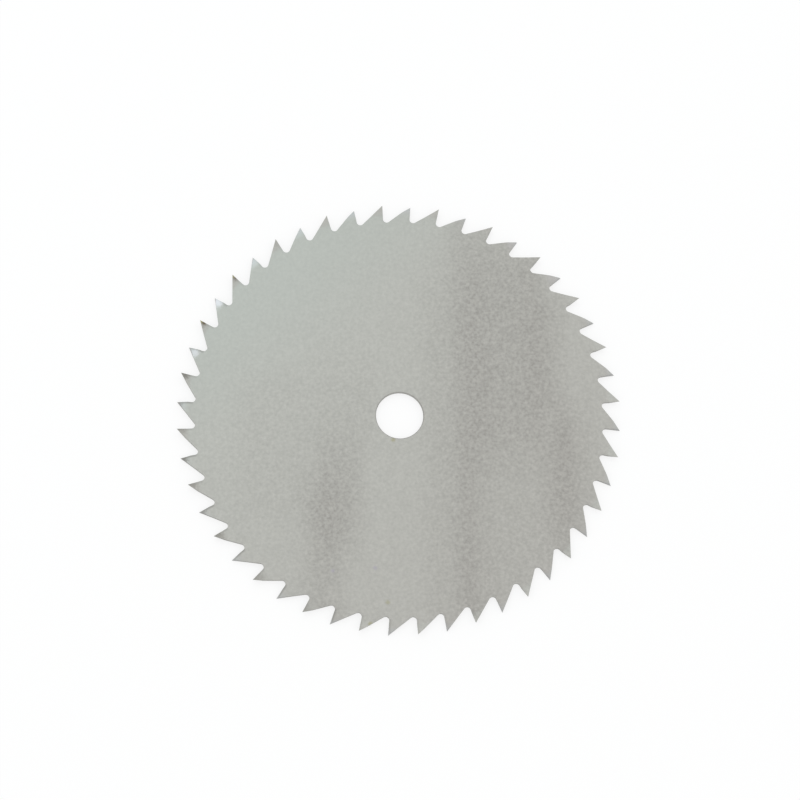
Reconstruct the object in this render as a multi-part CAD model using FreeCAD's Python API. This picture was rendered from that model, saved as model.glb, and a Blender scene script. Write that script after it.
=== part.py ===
# Circular saw blade for wood: one flat steel plate with alternately set, bevel-ground teeth.
# The blade lies flat. The origin is the centre of the bore, halfway through the plate, and +Z is
# the bore's axis. Seen from +Z the teeth cut clockwise.
import FreeCAD, Part
import math
import os

V = FreeCAD.Vector

# Plate, in millimetres
blade_diameter = 150.0
bore_diameter = 16.0
bore_chamfer = 0.25
plate_thickness = 1.4

# Tooth outline in the flat plate, in millimetres and degrees
tooth_pairs = 24
tooth_depth = 6.15
face_rake = 1.5
gullet_radius = 1.25

# Set: every second tooth is bent up and the ones between are bent down, about a line across each
set_each_side = 0.4
set_height = 4.0
bend_radius = 8.0

# Grinding: both edges of a tip are bevelled, so that only its outer corner is sharp
bevel_angle = 15.0
bevel_length = 3.6

# Worked out from the sizes above
tip_radius = blade_diameter / 2.0
root_radius = tip_radius - tooth_depth
rim_radius = root_radius - gullet_radius
tooth_count = 2 * tooth_pairs
pitch = 360.0 / tooth_count
half_plate = plate_thickness / 2.0
bend_line = tip_radius - set_height
bevel_recess = plate_thickness * math.tan(math.radians(bevel_angle))

# The middle of the plate runs round an arc of bend_radius, then straight on at set_angle, and is
# set_each_side off at the tip circle, so tan(set_angle / 2) is a root of
# bend_room * root ** 2 - 2 * set_height * root + set_each_side = 0.
bend_room = 2.0 * bend_radius - set_each_side
half_tangent = (set_height - math.sqrt(set_height ** 2 - set_each_side * bend_room)) / bend_room
set_angle = 2.0 * math.atan(half_tangent)
slanted_half_plate = half_plate / math.cos(set_angle)

bore_axis = V(0, 0, 1)
centre_of_bore = V(0, 0, 0)


def turned(point, degrees):
    """A point turned about the bore's axis."""
    return FreeCAD.Rotation(bore_axis, degrees).multVec(point)


def unit(vector):
    return V(vector).normalize()


def arc(centre, start, end):
    """The short arc from start to end about centre."""
    middle = unit(unit(start - centre) + unit(end - centre))
    return Part.Arc(start, centre + middle * (start - centre).Length, end)


def face_of(curves):
    return Part.Face(Part.Wire([curve.toShape() for curve in curves]))


def tooth_outline():
    """Corners, in the flat plate, of the tooth with its tip on +Y, which cuts towards +X.

    The face leans by the rake. The gullet in front of it is an arc that touches the face and the
    root circle. The next tooth's back is the line from that tooth's tip that touches the arc.
    """
    rake = math.radians(face_rake)
    tip = V(0, tip_radius, 0)
    down_face = V(-math.sin(rake), -math.cos(rake), 0)
    off_face = V(math.cos(rake), -math.sin(rake), 0)

    # The gullet's centre lies gullet_radius off the face and as far above the root circle
    start = tip + off_face * gullet_radius
    along = start.dot(down_face)
    centre_radius = root_radius + gullet_radius
    travel = -along - math.sqrt(along ** 2 - start.dot(start) + centre_radius ** 2)
    gullet = start + down_face * travel

    # Tangent from the next tooth's tip to the underside of the gullet's arc
    next_tip = turned(tip, -pitch)
    reach = (gullet - next_tip).Length
    spread = math.degrees(math.asin(gullet_radius / reach))
    tangent = math.sqrt(reach ** 2 - gullet_radius ** 2)
    next_back_foot = next_tip + turned(unit(gullet - next_tip), spread) * tangent

    return {
        "tip": tip,
        "face_foot": tip + down_face * travel,
        "gullet": gullet,
        "floor": unit(gullet) * root_radius,
        "back_gullet": turned(gullet, pitch),
        "back_floor": turned(unit(gullet) * root_radius, pitch),
        "back_foot": turned(next_back_foot, pitch),
    }


def flat_tooth(corners):
    """One tooth and the plate just below it, from the middle of one gullet to the next."""
    rim = unit(corners["floor"]) * rim_radius
    back_rim = unit(corners["back_floor"]) * rim_radius
    return face_of([
        Part.LineSegment(back_rim, corners["back_floor"]),
        arc(corners["back_gullet"], corners["back_floor"], corners["back_foot"]),
        Part.LineSegment(corners["back_foot"], corners["tip"]),
        Part.LineSegment(corners["tip"], corners["face_foot"]),
        arc(corners["gullet"], corners["face_foot"], corners["floor"]),
        Part.LineSegment(corners["floor"], rim),
        arc(centre_of_bore, rim, back_rim),
    ])


def bent_strip():
    """A strip of plate, wider than a tooth, that is flat, bends up and runs straight past the tip."""
    hinge = V(0, bend_line, bend_radius)
    under = bend_radius + half_plate
    over = bend_radius - half_plate
    bend_end = V(0, math.sin(set_angle), -math.cos(set_angle))
    run_out = V(0, math.cos(set_angle), math.sin(set_angle)) * (set_height + plate_thickness)
    inner_end = rim_radius * math.cos(math.radians(pitch)) - plate_thickness

    under_start = V(0, inner_end, -half_plate)
    under_bend = V(0, bend_line, -half_plate)
    under_bent = hinge + bend_end * under
    over_start = V(0, inner_end, half_plate)
    over_bend = V(0, bend_line, half_plate)
    over_bent = hinge + bend_end * over
    section = face_of([
        Part.LineSegment(under_start, under_bend),
        arc(hinge, under_bend, under_bent),
        Part.LineSegment(under_bent, under_bent + run_out),
        Part.LineSegment(under_bent + run_out, over_bent + run_out),
        Part.LineSegment(over_bent + run_out, over_bent),
        arc(hinge, over_bent, over_bend),
        Part.LineSegment(over_bend, over_start),
        Part.LineSegment(over_start, under_start),
    ])
    width = V(2.0 * tip_radius * math.sin(math.radians(pitch)), 0, 0)
    section.translate(width * -0.5)
    return section.extrude(width)


def ground_away(tip, wall_foot, other_foot):
    """What grinding takes off the wall that runs from the tip to wall_foot.

    The ground facet holds the tip's outer corner, meets the wall's inner edge at bevel_length from
    the tip, and is bevel_recess behind the wall at the tip's inner corner.
    """
    down_wall = unit(wall_foot - tip)
    across_tooth = other_foot - tip
    into_tooth = unit(across_tooth - down_wall * across_tooth.dot(down_wall))

    outer_corner = tip + bore_axis * (set_each_side + slanted_half_plate)
    inner_corner = tip + bore_axis * (set_each_side - slanted_half_plate)
    recessed_corner = inner_corner + into_tooth * bevel_recess
    facet_foot = tip + down_wall * bevel_length - bore_axis * half_plate

    along = unit(outer_corner - facet_foot)
    outward = unit(along.cross(recessed_corner - facet_foot))
    if outward.dot(into_tooth) > 0:
        outward = outward * -1.0
    across = along.cross(outward) * (2.0 * plate_thickness)
    far = along * (bevel_length + 2.0 * plate_thickness)
    near_face = Part.makePolygon([
        facet_foot - across,
        facet_foot + across,
        facet_foot + across + far,
        facet_foot - across + far,
        facet_foot - across,
    ])
    return Part.Face(near_face).extrude(outward * (2.0 * plate_thickness))


def tooth_set_up():
    """The tooth with its tip on +Y, bent towards +Z and ground on its face and its back."""
    corners = tooth_outline()
    tip = corners["tip"]
    face_foot = corners["face_foot"]
    back_foot = corners["back_foot"]
    headroom = bore_axis * (2.0 * (set_each_side + slanted_half_plate))
    outline = flat_tooth(corners)
    outline.translate(headroom * -1.0)
    tooth = outline.extrude(headroom * 2.0).common(bent_strip())
    tooth = tooth.cut(ground_away(tip, face_foot, back_foot))
    return tooth.cut(ground_away(tip, back_foot, face_foot))


def disc():
    """The plate inside the teeth, with its bore and the bore's two broken edges."""
    under_side = bore_axis * -half_plate
    upper_side = bore_axis * half_plate
    bore_radius = bore_diameter / 2.0
    wide = bore_radius + bore_chamfer
    plate = Part.makeCylinder(rim_radius, plate_thickness, under_side)
    plate = plate.cut(Part.makeCylinder(bore_radius, plate_thickness, under_side))
    plate = plate.cut(Part.makeCone(wide, bore_radius, bore_chamfer, under_side, bore_axis))
    return plate.cut(Part.makeCone(wide, bore_radius, bore_chamfer, upper_side, bore_axis * -1.0))


def saw_blade():
    """The disc and the teeth round it, set down and up by turns."""
    set_up = tooth_set_up()
    set_down = set_up.mirror(centre_of_bore, bore_axis)
    teeth = []
    for number in range(tooth_count):
        tooth = (set_up if number % 2 else set_down).copy()
        tooth.rotate(centre_of_bore, bore_axis, (number - 0.5) * pitch - 90.0)
        teeth.append(tooth)
    return disc().multiFuse(teeth).removeSplitter()


os.makedirs("parts", exist_ok=True)
blade = saw_blade()
blade.exportStep("parts/saw_blade.step")
box = blade.BoundBox
print("saw_blade: solids", len(blade.Solids), "valid", blade.isValid(), "faces", len(blade.Faces))
print("size", round(box.XLength, 3), round(box.YLength, 3), round(box.ZLength, 3))
print("set angle", round(math.degrees(set_angle), 2), "volume", round(blade.Volume, 1))
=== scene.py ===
import math
from collections import namedtuple

import bmesh
import bpy
from mathutils import Matrix, Vector


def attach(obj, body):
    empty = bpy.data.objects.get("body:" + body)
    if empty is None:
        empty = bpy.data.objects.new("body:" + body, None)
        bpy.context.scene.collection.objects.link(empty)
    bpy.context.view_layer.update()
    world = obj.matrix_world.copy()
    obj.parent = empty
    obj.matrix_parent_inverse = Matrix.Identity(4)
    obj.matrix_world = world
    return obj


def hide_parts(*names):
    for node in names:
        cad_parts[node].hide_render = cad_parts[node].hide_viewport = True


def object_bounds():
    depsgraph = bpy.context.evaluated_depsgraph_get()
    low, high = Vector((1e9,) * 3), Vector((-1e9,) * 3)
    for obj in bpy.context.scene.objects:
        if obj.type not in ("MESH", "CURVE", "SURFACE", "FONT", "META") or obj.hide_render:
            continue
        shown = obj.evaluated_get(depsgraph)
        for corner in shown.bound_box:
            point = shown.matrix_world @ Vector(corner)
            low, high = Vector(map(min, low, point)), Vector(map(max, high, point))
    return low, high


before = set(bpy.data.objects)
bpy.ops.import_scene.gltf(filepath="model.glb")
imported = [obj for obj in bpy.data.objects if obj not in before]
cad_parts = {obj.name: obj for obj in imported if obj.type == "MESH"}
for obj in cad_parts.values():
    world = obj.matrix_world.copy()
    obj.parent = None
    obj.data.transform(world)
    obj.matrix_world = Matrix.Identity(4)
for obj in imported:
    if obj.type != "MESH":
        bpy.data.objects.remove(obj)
solid_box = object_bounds()

mm = 0.001

# Plate
tip_radius = 75.0 * mm
bore_radius = 8.0 * mm
bore_chamfer = 0.25 * mm
half_plate = 0.7 * mm

# Tooth outline
tooth_pairs = 24
tooth_depth = 6.15 * mm
face_rake = math.radians(1.5)
gullet_radius = 1.25 * mm

# Set and grinding
set_each_side = 0.4 * mm
set_height = 4.0 * mm
bend_radius = 8.0 * mm
bevel_angle = math.radians(15.0)
bevel_length = 3.6 * mm

# Worked out from the sizes above
root_radius = tip_radius - tooth_depth
pitch = math.radians(180.0 / tooth_pairs)
half_pitch_in_pairs = 0.25
bend_line = tip_radius - set_height
bevel_recess = 2.0 * half_plate * math.tan(bevel_angle)
bend_room = 2.0 * bend_radius - set_each_side
half_tangent = (set_height - math.sqrt(set_height ** 2 - set_each_side * bend_room)) / bend_room
set_angle = 2.0 * math.atan(half_tangent)

# How finely the mesh follows the curves
gullet_steps = 10
bend_steps = 3
plate_rings = (bore_radius + bore_chamfer, 14.0 * mm, 26.0 * mm, 40.0 * mm, 54.0 * mm, 66.0 * mm)
same_place = 1e-7
weld_gap = 2e-6
sharp_edge = math.radians(11.0)


# The flat slice that the blade is made of

def turned(point, angle):
    """A point of the flat plate turned about the bore's axis."""
    return Matrix.Rotation(angle, 2) @ point


def tooth_corners():
    """Corners of the flat tooth with its tip on +Y, which cuts towards +X.

    The face leans by the rake. The gullet in front of it is an arc that touches the face and the
    root circle. The next tooth's back is the line from that tooth's tip that touches the arc.
    """
    tip = Vector((0.0, tip_radius))
    down_face = Vector((-math.sin(face_rake), -math.cos(face_rake)))
    off_face = Vector((math.cos(face_rake), -math.sin(face_rake)))
    start = tip + off_face * gullet_radius
    along = start.dot(down_face)
    centre_radius = root_radius + gullet_radius
    travel = -along - math.sqrt(along ** 2 - start.dot(start) + centre_radius ** 2)
    gullet = start + down_face * travel

    next_tip = turned(tip, -pitch)
    reach = (gullet - next_tip).length
    spread = math.asin(gullet_radius / reach)
    tangent = math.sqrt(reach ** 2 - gullet_radius ** 2)
    next_back_foot = next_tip + turned((gullet - next_tip).normalized(), spread) * tangent
    return {
        "tip": tip,
        "face foot": tip + down_face * travel,
        "gullet": gullet,
        "floor": gullet.normalized() * root_radius,
        "back gullet": turned(gullet, pitch),
        "back floor": turned(gullet.normalized() * root_radius, pitch),
        "back foot": turned(next_back_foot, pitch),
    }


def arc_points(centre, start, end, steps):
    """Points after start, up to end, along the short arc about centre."""
    spoke = start - centre
    first = math.atan2(spoke.y, spoke.x)
    last = math.atan2(end.y - centre.y, end.x - centre.x)
    sweep = (last - first + math.pi) % (2.0 * math.pi) - math.pi
    return [centre + turned(spoke, sweep * step / steps) for step in range(1, steps + 1)]


def slice_rows(corners):
    """Rows across one pitch, each from its right end to its left, from the bore to the tip."""
    right = math.atan2(corners["floor"].y, corners["floor"].x)
    spokes = (right, right + pitch / 2.0, right + pitch)
    rows = [
        [Vector((radius * math.cos(angle), radius * math.sin(angle))) for angle in spokes]
        for radius in plate_rings
    ]
    rows.append([corners["floor"], corners["back floor"]])
    right_arc = arc_points(corners["gullet"], corners["floor"], corners["face foot"], gullet_steps)
    left_arc = arc_points(
        corners["back gullet"], corners["back floor"], corners["back foot"], gullet_steps)
    rows.extend([on_right, on_left] for on_right, on_left in zip(right_arc, left_arc))
    rows.append([corners["tip"]])
    return rows


def skin_and_walls(shape, rows, punched):
    """The two skins of the slice and the walls where the outline is cut through the plate."""
    skins = []
    for height in (half_plate, -half_plate):
        skins.append([[shape.verts.new((point.x, point.y, height)) for point in row] for row in rows])
    for skin in skins:
        for lower, upper in zip(skin, skin[1:]):
            if len(lower) == len(upper) == 3:
                shape.faces.new((lower[0], upper[0], upper[1], lower[1]))
                shape.faces.new((lower[1], upper[1], upper[2], lower[2]))
            else:
                shape.faces.new([lower[0]] + upper + lower[:0:-1])
    top, bottom = skins
    for row in range(len(plate_rings), len(rows) - 1):
        for side in (0, -1):
            wall = shape.faces.new((
                bottom[row][side],
                bottom[row + 1][side],
                top[row + 1][side],
                top[row][side],
            ))
            wall[punched] = 1.0
    return top[0], bottom[0]


def bore_wall(shape, top_rim, bottom_rim, punched):
    """The bore's wall between its two broken edges."""
    shrink = bore_radius / (bore_radius + bore_chamfer)
    rings = [top_rim]
    for height in (half_plate - bore_chamfer, bore_chamfer - half_plate):
        rings.append([
            shape.verts.new((rim.co.x * shrink, rim.co.y * shrink, height)) for rim in top_rim])
    rings.append(bottom_rim)
    for upper, lower in zip(rings, rings[1:]):
        for right, left in ((0, 1), (1, 2)):
            wall = shape.faces.new((upper[right], upper[left], lower[left], lower[right]))
            wall[punched] = 1.0


def cut_across(shape, y):
    """An edge right across the slice at one height."""
    everything = shape.verts[:] + shape.edges[:] + shape.faces[:]
    bmesh.ops.bisect_plane(
        shape, geom=everything, dist=same_place, plane_co=(0.0, y, 0.0), plane_no=(0.0, 1.0, 0.0))


def grind(shape, tip, wall_foot, other_foot, ground):
    """Takes a bevel off the wall that runs from the tip to wall_foot, on the slice's under side.

    The bevel holds the tip's upper corner, meets the wall's lower edge at bevel_length from the
    tip, and is bevel_recess behind the wall at the tip's lower corner.
    """
    down_wall = (wall_foot - tip).normalized()
    across_tooth = other_foot - tip
    into_tooth = (across_tooth - down_wall * across_tooth.dot(down_wall)).normalized()
    bevel_foot = tip + down_wall * bevel_length
    recessed = tip + into_tooth * bevel_recess
    upper_corner = Vector((tip.x, tip.y, half_plate))
    lower_foot = Vector((bevel_foot.x, bevel_foot.y, -half_plate))
    lower_corner = Vector((recessed.x, recessed.y, -half_plate))
    outward = (upper_corner - lower_foot).cross(lower_corner - lower_foot).normalized()
    if outward.dot(Vector((into_tooth.x, into_tooth.y, 0.0))) > 0.0:
        outward.negate()

    cut_across(shape, bevel_foot.y)
    near_tip = [
        face for face in shape.faces
        if all(vert.co.y > bevel_foot.y - same_place for vert in face.verts)
    ]
    edges = {edge for face in near_tip for edge in face.edges}
    verts = {vert for face in near_tip for vert in face.verts}
    result = bmesh.ops.bisect_plane(
        shape, geom=near_tip + list(edges) + list(verts), dist=same_place,
        plane_co=lower_foot, plane_no=outward, clear_outer=True)
    rim = [item for item in result["geom_cut"] if isinstance(item, bmesh.types.BMEdge)]
    for face in bmesh.ops.contextual_create(shape, geom=rim)["faces"]:
        face[ground] = 1.0


def flat_slice():
    """One pitch of the blade as punched and ground, before it is set."""
    corners = tooth_corners()
    shape = bmesh.new()
    punched = shape.faces.layers.float.new("punched")
    ground = shape.faces.layers.float.new("ground")
    flank = shape.faces.layers.float.new("flank")
    top_rim, bottom_rim = skin_and_walls(shape, slice_rows(corners), punched)
    bore_wall(shape, top_rim, bottom_rim, punched)
    grind(shape, corners["tip"], corners["face foot"], corners["back foot"], ground)
    grind(shape, corners["tip"], corners["back foot"], corners["face foot"], ground)
    bend_length = (bend_radius + half_plate) * math.sin(set_angle)
    for step in range(bend_steps + 1):
        cut_across(shape, bend_line + bend_length * step / bend_steps)
    for face in shape.faces:
        if all(vert.co.z < same_place - half_plate for vert in face.verts):
            face[flank] = 1.0
    mesh = bpy.data.meshes.new("flat_slice")
    shape.to_mesh(mesh)
    shape.free()
    return mesh


# Small helpers: for objects, and for placing and joining nodes

def add_object(name, data):
    made = bpy.data.objects.new(name, data)
    bpy.context.scene.collection.objects.link(made)
    return made


def place(tree, kind, **settings):
    node = tree.nodes.new(kind)
    for name, value in settings.items():
        setattr(node, name, value)
    return node


def feed(tree, socket, value):
    """Joins a socket to another, or sets it to a plain value."""
    if isinstance(value, bpy.types.NodeSocket):
        tree.links.new(value, socket)
    else:
        socket.default_value = value


def calc(tree, operation, *values):
    """The result of a Math node."""
    node = place(tree, "ShaderNodeMath", operation=operation)
    for socket, value in zip(node.inputs, values):
        feed(tree, socket, value)
    return node.outputs[0]


def vector_calc(tree, operation, *values):
    """The result of a Vector Math node: a number for a dot product, length or distance."""
    node = place(tree, "ShaderNodeVectorMath", operation=operation)
    for socket, value in zip(node.inputs, values):
        feed(tree, socket, value)
    as_number = operation in ("DOT_PRODUCT", "LENGTH", "DISTANCE")
    return node.outputs["Value" if as_number else "Vector"]


def eased(tree, value, start, full):
    """0 at start and 1 at full, with a soft beginning and end."""
    step = place(tree, "ShaderNodeMapRange", interpolation_type="SMOOTHSTEP")
    feed(tree, step.inputs["Value"], value)
    feed(tree, step.inputs["From Min"], start)
    feed(tree, step.inputs["From Max"], full)
    return step.outputs[0]


def open_group(name, kind, inputs, outputs):
    """A node group with named sockets, given as name: socket type, and its two end nodes."""
    tree = bpy.data.node_groups.new(name, kind)
    for label, socket_type in inputs.items():
        tree.interface.new_socket(label, in_out="INPUT", socket_type=socket_type)
    for label, socket_type in outputs.items():
        tree.interface.new_socket(label, in_out="OUTPUT", socket_type=socket_type)
    return tree, place(tree, "NodeGroupInput").outputs, place(tree, "NodeGroupOutput").inputs


number_socket = "NodeSocketFloat"
vector_socket = "NodeSocketVector"


# The blade: the slice is set up, mirrored for the next tooth, and the pair goes round the bore

def set_heights(tree, sockets):
    """Where a point of the flat slice goes once the tooth is bent up about the bend line."""
    position = place(tree, "GeometryNodeInputPosition").outputs[0]
    flat = place(tree, "ShaderNodeSeparateXYZ")
    feed(tree, flat.inputs[0], position)
    radius = calc(tree, "SUBTRACT", sockets["Bend radius"], flat.outputs["Z"])
    beyond = calc(tree, "MAXIMUM", calc(tree, "SUBTRACT", flat.outputs["Y"], sockets["Bend line"]), 0.0)
    arc_reach = calc(tree, "MULTIPLY", radius, calc(tree, "SINE", sockets["Set angle"]))
    on_arc = calc(tree, "MINIMUM", beyond, arc_reach)
    drop = calc(tree, "SQRT", calc(tree, "SUBTRACT", calc(tree, "POWER", radius, 2.0),
                                   calc(tree, "POWER", on_arc, 2.0)))
    arc_height = calc(tree, "SUBTRACT", sockets["Bend radius"], drop)
    run = calc(tree, "SUBTRACT", beyond, on_arc)
    run_height = calc(tree, "MULTIPLY", run, calc(tree, "TANGENT", sockets["Set angle"]))
    bent = place(tree, "ShaderNodeCombineXYZ")
    feed(tree, bent.inputs["X"], flat.outputs["X"])
    feed(tree, bent.inputs["Y"], flat.outputs["Y"])
    feed(tree, bent.inputs["Z"], calc(tree, "ADD", arc_height, run_height))
    return bent.outputs[0], position


def blade_tree():
    """The node tree that makes the whole blade from one flat slice."""
    tree, given, result = open_group("Set and toothed blade", "GeometryNodeTree", {
        "Flat slice": "NodeSocketGeometry",
        "Tooth pairs": "NodeSocketInt",
        "Bend line": number_socket,
        "Bend radius": number_socket,
        "Set angle": number_socket,
        "Weld gap": number_socket,
        "Steel": "NodeSocketMaterial",
    }, {"Blade": "NodeSocketGeometry"})
    tree.is_modifier = True
    bent, flat = set_heights(tree, given)

    # The flat place in the tooth's own frame stays with the mesh as a map for the steel
    marked = place(tree, "GeometryNodeStoreNamedAttribute", data_type="FLOAT2", domain="CORNER")
    feed(tree, marked.inputs["Geometry"], given["Flat slice"])
    feed(tree, marked.inputs["Name"], "tooth place")
    feed(tree, marked.inputs["Value"], flat)

    set_up = place(tree, "GeometryNodeSetPosition")
    feed(tree, set_up.inputs["Geometry"], marked.outputs[0])
    feed(tree, set_up.inputs["Position"], bent)

    pair_turn = calc(tree, "DIVIDE", 2.0 * math.pi, given["Tooth pairs"])
    next_turn = place(tree, "ShaderNodeCombineXYZ")
    feed(tree, next_turn.inputs["Z"], calc(tree, "DIVIDE", pair_turn, 2.0))
    mirrored = place(tree, "GeometryNodeTransform")
    feed(tree, mirrored.inputs["Geometry"], set_up.outputs[0])
    feed(tree, mirrored.inputs["Rotation"], next_turn.outputs[0])
    feed(tree, mirrored.inputs["Scale"], (1.0, 1.0, -1.0))
    pair = place(tree, "GeometryNodeJoinGeometry")
    tree.links.new(set_up.outputs[0], pair.inputs[0])
    tree.links.new(mirrored.outputs[0], pair.inputs[0])

    # The first pair starts with the tooth whose tip is half a pitch round from +X
    places = place(tree, "GeometryNodePoints")
    feed(tree, places.inputs["Count"], given["Tooth pairs"])
    steps = calc(tree, "ADD", place(tree, "GeometryNodeInputIndex").outputs[0], half_pitch_in_pairs)
    turn = place(tree, "ShaderNodeCombineXYZ")
    feed(tree, turn.inputs["Z"],
         calc(tree, "SUBTRACT", calc(tree, "MULTIPLY", steps, pair_turn), math.pi / 2.0))
    pairs = place(tree, "GeometryNodeInstanceOnPoints")
    feed(tree, pairs.inputs["Points"], places.outputs[0])
    feed(tree, pairs.inputs["Instance"], pair.outputs[0])
    feed(tree, pairs.inputs["Rotation"], turn.outputs[0])

    real = place(tree, "GeometryNodeRealizeInstances")
    feed(tree, real.inputs[0], pairs.outputs[0])
    welded = place(tree, "GeometryNodeMergeByDistance")
    feed(tree, welded.inputs["Geometry"], real.outputs[0])
    feed(tree, welded.inputs["Distance"], given["Weld gap"])
    steel = place(tree, "GeometryNodeSetMaterial")
    feed(tree, steel.inputs["Geometry"], welded.outputs[0])
    feed(tree, steel.inputs["Material"], given["Steel"])
    feed(tree, result["Blade"], steel.outputs[0])
    return tree


def make_blade(steel):
    """The finished blade as one plain closed mesh."""
    start = add_object("blade_start", flat_slice())
    modifier = start.modifiers.new("Toothed blade", "NODES")
    modifier.node_group = blade_tree()
    values = {
        "Tooth pairs": tooth_pairs,
        "Bend line": bend_line,
        "Bend radius": bend_radius,
        "Set angle": set_angle,
        "Weld gap": weld_gap,
        "Steel": steel,
    }
    for item in modifier.node_group.interface.items_tree:
        if item.in_out == "INPUT" and item.name in values:
            modifier[item.identifier] = values[item.name]

    evaluated = start.evaluated_get(bpy.context.evaluated_depsgraph_get())
    mesh = bpy.data.meshes.new_from_object(evaluated)
    bpy.data.objects.remove(start)
    mesh.name = "toothed_blade"

    shape = bmesh.new()
    shape.from_mesh(mesh)
    bmesh.ops.recalc_face_normals(shape, faces=shape.faces)
    shape.to_mesh(mesh)
    shape.free()
    mesh.shade_smooth()
    mesh.set_sharp_from_angle(angle=sharp_edge)
    return add_object("toothed_blade", mesh)


# Steel: its colours, and the marks on this blade

plate_grey = (0.449, 0.4415, 0.4135)
# Darker bands: partly rolled banding, partly painted shade
band_and_shade_grey = (0.378, 0.3655, 0.3425)
# A painted sheen: the cool tint of reflected light in one corner, on the skin and on the flanks
cool_sheen_grey = (0.441, 0.446, 0.4175)
# Darker on the walls: partly the duller sheared steel, partly painted shade for the dark surroundings
# that walls reflect
punched_and_shaded_grey = (0.385, 0.38, 0.36)
ground_grey = (0.40, 0.405, 0.40)
flank_grey = (0.468, 0.472, 0.455)
cool_sheen_flank_grey = (0.466, 0.472, 0.470)
warm_tip_grey = (0.459, 0.439, 0.412)
# Painted shade on the cutting faces' edges
edge_shade_grey = (0.25, 0.245, 0.23)
# The tint of painted highlights on the teeth, with its red raised against the key softbox's blue-green
# tint
painted_highlight_tint = (0.77, 0.74, 0.79)
dull_tint = (0.22, 0.21, 0.19)
straw_tint = (0.33, 0.31, 0.16)
brown_tint = (0.13, 0.10, 0.06)
violet_tint = (0.37, 0.34, 0.42)

# Darker bands, which run along Y, in millimetres: partly banding that the rolls left in the steel,
# partly painted shade, for the plate's darkening that the key softbox doesn't give. A fade is the width
# over which a border comes in. Share is how much of the way the band goes from plate_grey to
# band_and_shade_grey, and where bands overlap their shares add up, to 1 at most.
Band = namedtuple("Band", "left left_fade right right_fade lower upper end_fade share")
rolled_bands_and_shade = {
    "wide": Band(16.5, 14.0, 57.5, 5.5, -90.0, 79.0, 12.0, 0.32),
    "wide, outer half": Band(24.5, 6.0, 49.0, 7.5, -14.0, 60.0, 26.0, 0.46),
    "shoulder": Band(7.5, 10.0, 29.5, 14.0, -90.0, 50.0, 26.0, 0.28),
    "dark line": Band(20.0, 8.0, 22.5, 12.0, -90.0, 65.0, 26.0, 0.67),
    "right border, above": Band(46.0, 14.0, 53.0, 5.5, 1.5, 40.5, 7.5, 0.37),
    "right border, below": Band(50.5, 14.0, 63.0, 14.0, -43.5, 2.0, 26.0, 0.70),
    "left patch": Band(-29.5, 11.0, -13.0, 10.0, -45.0, -9.0, 26.0, 0.63),
    "left patch's tail": Band(-32.5, 14.0, -20.0, 11.0, -90.0, -24.5, 26.0, 0.52),
    "beside the bore": Band(-30.0, 5.5, -8.0, 4.0, -10.0, 17.0, 26.0, 0.22),
    "faint, far left": Band(-54.0, 14.0, -31.0, 4.5, -35.0, 14.0, 16.0, 0.19),
}

# The corner with a painted sheen, a blue-green tint of reflected light, where the grain is also finer,
# measured outwards from the bore's centre
sheen_direction = (-0.63, 0.77, 0.0)
sheen_start = 25.0 * mm
sheen_full = 66.0 * mm

# The side where painted shade darkens the cutting faces' edges most, measured in the same way
edge_shade_direction = (-0.9, -0.45, 0.0)
edge_shade_start = 5.0 * mm
edge_shade_full = 55.0 * mm
edge_shade_width = 1.0 * mm

# How strongly the painted shade darkens those edges: everywhere, and what is added on that side and on
# its flanks
edge_shade_everywhere = 0.08
edge_shade_on_side = 0.3
edge_shade_on_flank = 0.4

# Past the bend line, the length over which a set tooth's own colours come in, and the warm one's share
tip_fade = 3.0 * mm
warm_tip_share = 0.5

# The mottled grain: its strength on the plain plate, and what the bands and the painted sheen's corner
# add
speck_size = 1.05 * mm
speck_detail = 2.0
speck_fineness = 0.6
plain_grain = 0.34
banded_grain = 0.42
sheen_grain = -0.15

# Fine lines from the rolls, along the plate, and from the grinding wheel, across each tooth
Lines = namedtuple("Lines", "width length strength")
roll_lines = Lines(0.2 * mm, 12.0 * mm, 0.03)
grinding_lines = Lines(1.5 * mm, 0.06 * mm, 0.15)
line_detail = 3.0

# The skins' roughness, and what is added to it on the cut walls and by the specks, which stand out
skin_roughness = 0.36
wall_roughness = 0.15
speck_roughness = 0.06
bump_strength = 0.15
bump_height = 0.02 * mm

# The border of each spot, stain and painted highlight alike, fades from inside to outside, in shares of
# its radius, and is uneven
spot_inside = 0.3
spot_outside = 1.3
spot_unevenness = 1.2
spot_wander = 0.7 * mm

# The mean of Blender's noise
noise_middle = 0.5

# Small marks on the skin that the camera sees, in millimetres on the plate
Spot = namedtuple("Spot", "x y radius tint share")
stains = (
    Spot(-2.3, -8.5, 0.9, straw_tint, 0.5),
    Spot(-4.9, -64.0, 0.9, straw_tint, 0.4),
    Spot(-8.9, -52.4, 0.8, violet_tint, 0.5),
    Spot(-23.0, -53.3, 0.7, violet_tint, 0.5),
)
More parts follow.
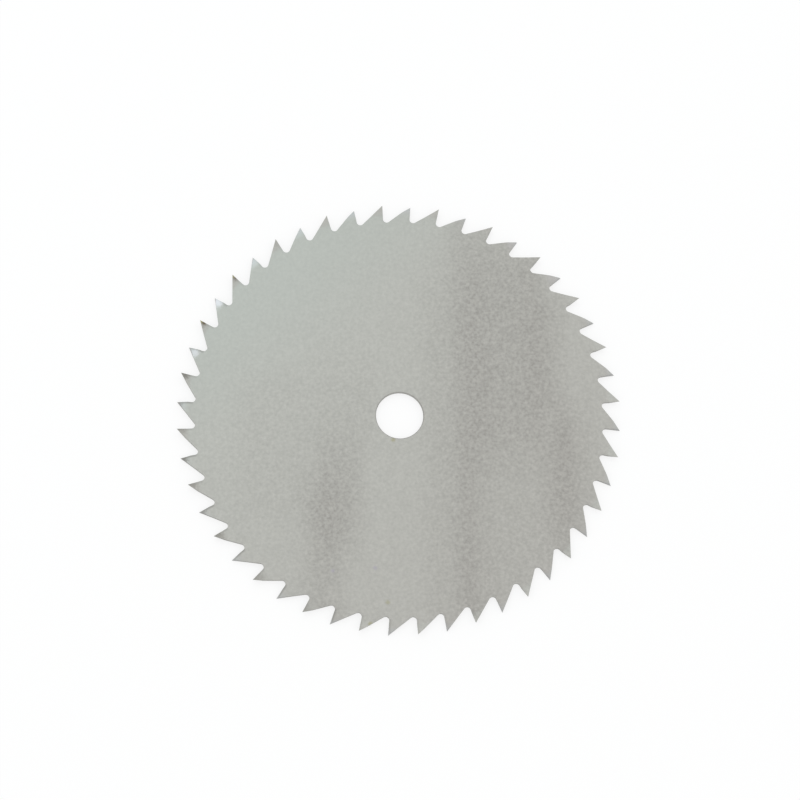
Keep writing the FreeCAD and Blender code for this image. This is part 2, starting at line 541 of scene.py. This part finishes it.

# Marks on single teeth: straw and brown heat tints, darker tips in dull_tint, and painted highlights in
# painted_highlight_tint where bent flanks catch the key softbox. Teeth are counted round from +X, half
# a pitch back. Depth is how far the mark's middle lies below the tip, and across how far it is from the
# face to the back.
ToothMark = namedtuple("ToothMark", "tooth depth across radius tint share")
tooth_marks = (
    ToothMark(23, 0.9, 0.4, 2.2, dull_tint, 0.85),
    ToothMark(21, 0.7, 0.4, 2.2, dull_tint, 0.5),
    ToothMark(21, 1.6, 0.0, 0.9, brown_tint, 0.9),
    ToothMark(21, 0.3, 0.5, 0.8, straw_tint, 0.9),
    ToothMark(19, 0.7, 0.4, 2.0, dull_tint, 0.5),
    ToothMark(19, 1.6, 0.0, 0.9, brown_tint, 0.6),
    ToothMark(19, 0.5, 0.2, 0.8, straw_tint, 0.7),
    ToothMark(17, 0.8, 0.5, 2.2, dull_tint, 0.15),
    ToothMark(24, 0.6, 0.5, 1.8, dull_tint, 0.5),
    ToothMark(-23, 0.9, 0.5, 2.4, dull_tint, 0.35),
    ToothMark(-22, 0.8, 0.5, 1.9, dull_tint, 0.9),
    ToothMark(-21, 0.9, 0.5, 2.5, dull_tint, 0.5),
    ToothMark(-20, 0.7, 0.5, 1.9, dull_tint, 0.5),
    ToothMark(-19, 0.9, 0.5, 2.6, dull_tint, 0.55),
    ToothMark(-17, 1.2, 0.5, 3.2, dull_tint, 0.38),
    ToothMark(-15, 1.0, 0.5, 2.5, dull_tint, 0.25),
    ToothMark(-13, 3.0, 1.0, 0.9, straw_tint, 0.6),
    # Painted highlights, where the bent flanks catch the key softbox
    ToothMark(22, 2.9, 0.45, 1.5, painted_highlight_tint, 0.4),
    ToothMark(20, 2.0, 0.4, 2.0, painted_highlight_tint, 0.55),
    ToothMark(18, 2.2, 0.45, 1.8, painted_highlight_tint, 0.1),
    ToothMark(8, 2.0, 0.5, 2.2, painted_highlight_tint, 0.12),
    ToothMark(6, 2.4, 0.5, 2.6, painted_highlight_tint, 0.12),
)


def band_and_shade_group():
    """1 inside one band, fading out at its borders and its two ends."""
    tree, given, result = open_group("Rolled band and shade", "ShaderNodeTree", {
        "Place": vector_socket,
        "Left": number_socket,
        "Left fade": number_socket,
        "Right": number_socket,
        "Right fade": number_socket,
        "Lower end": number_socket,
        "Upper end": number_socket,
        "End fade": number_socket,
    }, {"Band": number_socket})
    place_parts = place(tree, "ShaderNodeSeparateXYZ")
    feed(tree, place_parts.inputs[0], given["Place"])

    def rise(value, middle, fade):
        half_fade = calc(tree, "MULTIPLY", fade, 0.5)
        return eased(tree, value, calc(tree, "SUBTRACT", middle, half_fade),
                     calc(tree, "ADD", middle, half_fade))

    across = calc(
        tree, "SUBTRACT",
        rise(place_parts.outputs["X"], given["Left"], given["Left fade"]),
        rise(place_parts.outputs["X"], given["Right"], given["Right fade"]))
    along = calc(
        tree, "SUBTRACT",
        rise(place_parts.outputs["Y"], given["Lower end"], given["End fade"]),
        rise(place_parts.outputs["Y"], given["Upper end"], given["End fade"]))
    feed(tree, result["Band"], calc(tree, "MULTIPLY", across, along))
    return tree


def line_distance_group():
    """How far a place is from the straight line between two ends."""
    tree, given, result = open_group("Distance to a line", "ShaderNodeTree", {
        "Place": vector_socket,
        "Start": vector_socket,
        "End": vector_socket,
    }, {"Distance": number_socket})
    line = vector_calc(tree, "SUBTRACT", given["End"], given["Start"])
    offset = vector_calc(tree, "SUBTRACT", given["Place"], given["Start"])
    share = calc(tree, "DIVIDE", vector_calc(tree, "DOT_PRODUCT", offset, line),
                 vector_calc(tree, "DOT_PRODUCT", line, line))
    share.node.use_clamp = True
    nearest = place(tree, "ShaderNodeVectorMath", operation="SCALE")
    feed(tree, nearest.inputs[0], line)
    feed(tree, nearest.inputs["Scale"], share)
    feed(tree, result["Distance"], vector_calc(tree, "DISTANCE", offset, nearest.outputs[0]))
    return tree


def speckle_group():
    """A mottled grain of about 1, rougher where strength is higher."""
    tree, given, result = open_group("Speckle", "ShaderNodeTree", {
        "Place": vector_socket,
        "Speck size": number_socket,
        "Strength": number_socket,
    }, {"Tone": number_socket, "Height": number_socket})
    specks = place(tree, "ShaderNodeTexNoise", noise_dimensions="3D")
    feed(tree, specks.inputs["Vector"], given["Place"])
    feed(tree, specks.inputs["Scale"], calc(tree, "DIVIDE", 1.0, given["Speck size"]))
    feed(tree, specks.inputs["Detail"], speck_detail)
    feed(tree, specks.inputs["Roughness"], speck_fineness)
    uneven = calc(tree, "SUBTRACT", specks.outputs[0], noise_middle)
    feed(tree, result["Tone"], calc(tree, "MULTIPLY_ADD", uneven, given["Strength"], 1.0))
    feed(tree, result["Height"], specks.outputs[0])
    return tree


def spot_group():
    """1 in the middle of a small spot with an uneven border, fading to nothing outside it: a stain,
    tooth mark or painted highlight.
    """
    tree, given, result = open_group("Spot", "ShaderNodeTree", {
        "Place": vector_socket,
        "Centre": vector_socket,
        "Radius": number_socket,
    }, {"Spot": number_socket})
    wander = place(tree, "ShaderNodeTexNoise", noise_dimensions="3D")
    feed(tree, wander.inputs["Vector"], given["Place"])
    feed(tree, wander.inputs["Scale"], 1.0 / spot_wander)
    reach = calc(tree, "DIVIDE", vector_calc(tree, "DISTANCE", given["Place"], given["Centre"]),
                 given["Radius"])
    uneven = calc(tree, "SUBTRACT", wander.outputs[0], noise_middle)
    reach = calc(tree, "MULTIPLY_ADD", uneven, spot_unevenness, reach)
    feed(tree, result["Spot"], eased(tree, reach, spot_outside, spot_inside))
    return tree


def fine_lines_group():
    """A tone of about 1 in fine parallel lines along Y, as rolls and grinding wheels leave."""
    tree, given, result = open_group("Fine lines", "ShaderNodeTree", {
        "Place": vector_socket,
        "Line width": number_socket,
        "Line length": number_socket,
        "Strength": number_socket,
    }, {"Tone": number_socket})
    size = place(tree, "ShaderNodeCombineXYZ")
    feed(tree, size.inputs["X"], given["Line width"])
    feed(tree, size.inputs["Y"], given["Line length"])
    feed(tree, size.inputs["Z"], given["Line length"])
    lines = place(tree, "ShaderNodeTexNoise", noise_dimensions="3D")
    feed(tree, lines.inputs["Vector"], vector_calc(tree, "DIVIDE", given["Place"], size.outputs[0]))
    feed(tree, lines.inputs["Scale"], 1.0)
    feed(tree, lines.inputs["Detail"], line_detail)
    uneven = calc(tree, "SUBTRACT", lines.outputs[0], noise_middle)
    feed(tree, result["Tone"], calc(tree, "MULTIPLY_ADD", uneven, given["Strength"], 1.0))
    return tree


def mixed(tree, factor, first, second):
    """Two colours mixed by a factor."""
    mix = place(tree, "ShaderNodeMix", data_type="RGBA")
    for name, value in (("Factor_Float", factor), ("A_Color", first), ("B_Color", second)):
        socket = next(item for item in mix.inputs if item.identifier == name)
        is_plain = isinstance(value, tuple)
        feed(tree, socket, value + (1.0,) if is_plain else value)
    return next(item for item in mix.outputs if item.identifier == "Result_Color")


def toned(tree, tint, tone):
    """A colour made lighter or darker by a number."""
    shade = place(tree, "ShaderNodeVectorMath", operation="SCALE")
    feed(tree, shade.inputs[0], tint)
    feed(tree, shade.inputs["Scale"], tone)
    return shade.outputs[0]


def with_group(tree, group, **values):
    """A node that uses a group, its inputs set by name with spaces as underscores."""
    node = place(tree, "ShaderNodeGroup", node_tree=group)
    for name, value in values.items():
        feed(tree, node.inputs[name.replace("_", " ")], value)
    return node.outputs


def line_tone(tree, group, where, kind):
    return with_group(tree, group, Place=where, Line_width=kind.width, Line_length=kind.length,
                      Strength=kind.strength)["Tone"]


def banding_and_shade(tree, on_blade):
    """How far each place is towards band_and_shade_grey, rolled banding with painted shade in it."""
    group = band_and_shade_group()
    share = None
    for band in rolled_bands_and_shade.values():
        one = with_group(
            tree, group, Place=on_blade,
            Left=band.left * mm, Left_fade=band.left_fade * mm,
            Right=band.right * mm, Right_fade=band.right_fade * mm,
            Lower_end=band.lower * mm, Upper_end=band.upper * mm, End_fade=band.end_fade * mm)
        if share is None:
            share = calc(tree, "MULTIPLY", one["Band"], band.share)
        else:
            share = calc(tree, "MULTIPLY_ADD", one["Band"], band.share, share)
    return share


def marked_place(mark):
    """Where a tooth mark lies on the upper skin of the finished blade."""
    corners = tooth_corners()
    lengths = [(corners["tip"] - corners[foot]).y for foot in ("face foot", "back foot")]
    on_face, on_back = [
        corners["tip"].lerp(corners[foot], mark.depth * mm / length)
        for foot, length in zip(("face foot", "back foot"), lengths)
    ]
    flat = turned(on_face.lerp(on_back, mark.across), (mark.tooth - 0.5) * pitch - math.pi / 2.0)
    bend = max(set_height - mark.depth * mm, 0.0) / set_height * set_each_side
    return (flat.x, flat.y, half_plate + (bend if mark.tooth % 2 else -bend))


def towards(tree, on_blade, direction, start, full):
    """0 up to start and 1 from full, measured from the bore's centre in one direction."""
    return eased(tree, vector_calc(tree, "DOT_PRODUCT", on_blade, direction), start, full)


def with_stains_and_highlights(tree, on_blade, skin):
    """The colour with the stains, tooth marks and painted highlights laid over it."""
    group = spot_group()
    marks = [((stain.x * mm, stain.y * mm, half_plate), stain) for stain in stains]
    marks += [(marked_place(mark), mark) for mark in tooth_marks]
    for centre, mark in marks:
        one = with_group(tree, group, Place=on_blade, Centre=centre, Radius=mark.radius * mm)
        skin = mixed(tree, calc(tree, "MULTIPLY", one["Spot"], mark.share), skin, mark.tint)
    return skin


def face_edge_shade(tree, on_tooth):
    """1 along the edge of each cutting face, fading to nothing inwards: where the painted shade goes.
    """
    corners = tooth_corners()
    ends = {name: (corners[name].x, corners[name].y, 0.0) for name in ("tip", "face foot")}
    distance = with_group(tree, line_distance_group(), Place=on_tooth,
                          Start=ends["tip"], End=ends["face foot"])["Distance"]
    return eased(tree, distance, edge_shade_width, 0.0)


def past_the_bend(tree, on_tooth):
    """1 on a set tooth, fading in from the bend line outwards."""
    parts = place(tree, "ShaderNodeSeparateXYZ")
    feed(tree, parts.inputs[0], on_tooth)
    return eased(tree, parts.outputs["Y"], bend_line, bend_line + tip_fade)


def steel_material():
    """Satin steel, as rolled on the skins, punched on the walls and ground at the tips."""
    material = bpy.data.materials.new("Satin rolled steel")
    material.use_nodes = True
    tree = material.node_tree
    steel = tree.nodes["Principled BSDF"]
    on_blade = place(tree, "ShaderNodeTexCoord").outputs["Object"]
    on_tooth = place(tree, "ShaderNodeAttribute", attribute_name="tooth place").outputs["Vector"]
    finish = {
        name: place(tree, "ShaderNodeAttribute", attribute_name=name).outputs["Fac"]
        for name in ("punched", "ground", "flank")
    }

    # The rolled skins, with painted shade in the bands and a painted sheen in one corner
    band = banding_and_shade(tree, on_blade)
    lines = fine_lines_group()
    rolled = line_tone(tree, lines, on_blade, roll_lines)
    # A painted sheen in one corner: a cooler tint and a finer grain
    sheen_mask = towards(tree, on_blade, sheen_direction, sheen_start, sheen_full)
    strength = calc(tree, "MULTIPLY_ADD", band, banded_grain, plain_grain)
    strength = calc(tree, "MULTIPLY_ADD", sheen_mask, sheen_grain, strength)
    speckle = with_group(tree, speckle_group(), Place=on_blade, Speck_size=speck_size,
                         Strength=strength)
    grain = calc(tree, "MULTIPLY", speckle["Tone"], rolled)
    skin = mixed(tree, band, mixed(tree, sheen_mask, plate_grey, cool_sheen_grey), band_and_shade_grey)
    skin = toned(tree, skin, grain)

    # The bent tips, their ground flanks and the bevels
    grinding = line_tone(tree, lines, on_tooth, grinding_lines)
    bent = past_the_bend(tree, on_tooth)
    tip = toned(tree, mixed(tree, band, warm_tip_grey, band_and_shade_grey), grain)
    skin = mixed(tree, calc(tree, "MULTIPLY", bent, warm_tip_share), skin, tip)
    flank = mixed(tree, band, mixed(tree, sheen_mask, flank_grey, cool_sheen_flank_grey), band_and_shade_grey)
    flank = toned(tree, flank, grinding)
    skin = mixed(tree, calc(tree, "MULTIPLY", bent, finish["flank"]), skin, flank)
    # Painted shade along the cutting faces' edges, strongest on one side of the blade
    edge_shade = towards(tree, on_blade, edge_shade_direction, edge_shade_start, edge_shade_full)
    edge_shade_share = calc(tree, "MULTIPLY_ADD", finish["flank"], edge_shade_on_flank, edge_shade_on_side)
    edge_shade = calc(tree, "MULTIPLY_ADD", edge_shade, edge_shade_share, edge_shade_everywhere)
    skin = mixed(tree, calc(tree, "MULTIPLY", edge_shade, face_edge_shade(tree, on_tooth)), skin, edge_shade_grey)
    skin = mixed(tree, finish["ground"], skin, toned(tree, ground_grey, grinding))
    skin = with_stains_and_highlights(tree, on_blade, skin)
    # The walls, darkened partly as painted shade
    skin = mixed(tree, finish["punched"], skin, toned(tree, punched_and_shaded_grey, speckle["Tone"]))
    feed(tree, steel.inputs["Base Color"], skin)

    steel.inputs["Metallic"].default_value = 1.0
    rougher = calc(tree, "MULTIPLY_ADD", finish["punched"], wall_roughness, skin_roughness)
    feed(tree, steel.inputs["Roughness"],
         calc(tree, "MULTIPLY_ADD", speckle["Height"], speck_roughness, rougher))
    bump = place(tree, "ShaderNodeBump")
    feed(tree, bump.inputs["Height"], speckle["Height"])
    feed(tree, bump.inputs["Strength"], bump_strength)
    feed(tree, bump.inputs["Distance"], bump_height)
    feed(tree, steel.inputs["Normal"], bump.outputs[0])
    return material


# Studio

lowest_point = solid_box[0].z
floor_reach = 3.0

# The floor's two triangles meet along a diagonal, which shows from below where it crosses the blade
floor_shift = 0.5
floor_white = (0.95, 0.95, 0.95, 1.0)
backdrop_white = (1.0, 1.0, 1.0, 1.0)
sky_level = 1.0

# How much of the floor that the camera sees is plain white. The rest shows the blade's shadow.
camera_share = 0.75

key_direction = (-0.25, 0.5, 0.85)
key_distance = 1.2
key_size = 0.6
key_power = 0.75
key_tint = (0.68, 1.0, 1.0)


def studio_sky():
    """Soft even light all round, which shows as plain white."""
    world = bpy.data.worlds.new("Pale studio")
    bpy.context.scene.world = world
    world.use_nodes = True
    tree = world.node_tree
    tree.nodes.clear()
    light = place(tree, "ShaderNodeBackground")
    feed(tree, light.inputs["Color"], backdrop_white)
    feed(tree, light.inputs["Strength"], sky_level)
    out = place(tree, "ShaderNodeOutputWorld")
    feed(tree, out.inputs[0], light.outputs[0])


def floor_material():
    """Matt white that keeps the blade's shadow, seen through from below."""
    material = bpy.data.materials.new("Pale floor")
    material.use_nodes = True
    tree = material.node_tree
    tree.nodes.clear()
    matt = place(tree, "ShaderNodeBsdfDiffuse")
    feed(tree, matt.inputs["Color"], floor_white)
    white = place(tree, "ShaderNodeEmission")
    feed(tree, white.inputs["Color"], backdrop_white)
    rays = place(tree, "ShaderNodeLightPath").outputs
    mirrored = calc(tree, "MAXIMUM", rays["Is Glossy Ray"], rays["Is Transmission Ray"])
    seen = calc(tree, "MULTIPLY", rays["Is Camera Ray"], camera_share)
    share = calc(tree, "MAXIMUM", seen, mirrored)
    surface = place(tree, "ShaderNodeMixShader")
    feed(tree, surface.inputs[0], share)
    feed(tree, surface.inputs[1], matt.outputs[0])
    feed(tree, surface.inputs[2], white.outputs[0])
    clear = place(tree, "ShaderNodeBsdfTransparent")
    sided = place(tree, "ShaderNodeMixShader")
    feed(tree, sided.inputs[0], place(tree, "ShaderNodeNewGeometry").outputs["Backfacing"])
    feed(tree, sided.inputs[1], surface.outputs[0])
    feed(tree, sided.inputs[2], clear.outputs[0])
    out = place(tree, "ShaderNodeOutputMaterial")
    feed(tree, out.inputs[0], sided.outputs[0])
    return material


def make_floor():
    mesh = bpy.data.meshes.new("floor")
    corners = [
        (x * floor_reach, y * floor_reach + floor_shift, lowest_point)
        for x, y in ((-1, -1), (1, -1), (1, 1), (-1, 1))
    ]
    mesh.from_pydata(corners, [], [(0, 1, 2, 3)])
    mesh.materials.append(floor_material())
    return add_object("floor", mesh)


def softbox(name, direction, distance, size, power, tint):
    """A square lamp that faces the bore's centre."""
    light = bpy.data.lights.new(name, "AREA")
    light.color = tint
    light.shape = "SQUARE"
    light.size = size
    light.energy = power
    lamp = add_object(name, light)
    outwards = Vector(direction).normalized()
    lamp.location = outwards * distance
    lamp.rotation_mode = "QUATERNION"
    lamp.rotation_quaternion = outwards.to_track_quat("Z", "Y")


# Camera, at the photo's viewing angle

camera_lens = 112.5
sensor_width = 36.0
camera_azimuth = math.radians(-13.67)
camera_elevation = math.radians(74.01)
camera_roll = math.radians(13.29)
camera_distance = 844.9 * mm
camera_target = Vector((0.22 * mm, 5.55 * mm, 0.0))


def make_camera():
    flat = math.cos(camera_elevation)
    back = Vector((
        math.sin(camera_azimuth) * flat,
        -math.cos(camera_azimuth) * flat,
        math.sin(camera_elevation),
    ))
    level = Vector((0.0, 0.0, 1.0)).cross(back).normalized()
    upright = back.cross(level)
    across = level * math.cos(camera_roll) + upright * math.sin(camera_roll)
    up = back.cross(across)
    data = bpy.data.cameras.new("photo_view")
    data.lens = camera_lens
    data.sensor_width = sensor_width
    camera = add_object("photo_view", data)
    camera.matrix_world = Matrix.Translation(camera_target + back * camera_distance) @ Matrix(
        (across, up, back)).transposed().to_4x4()
    bpy.context.scene.camera = camera


bpy.context.scene.view_settings.view_transform = "Standard"
studio_sky()
softbox("Key softbox", key_direction, key_distance, key_size, key_power, key_tint)
floor = make_floor()
make_camera()

blade = make_blade(steel_material())
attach(blade, "root")
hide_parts("saw_blade")
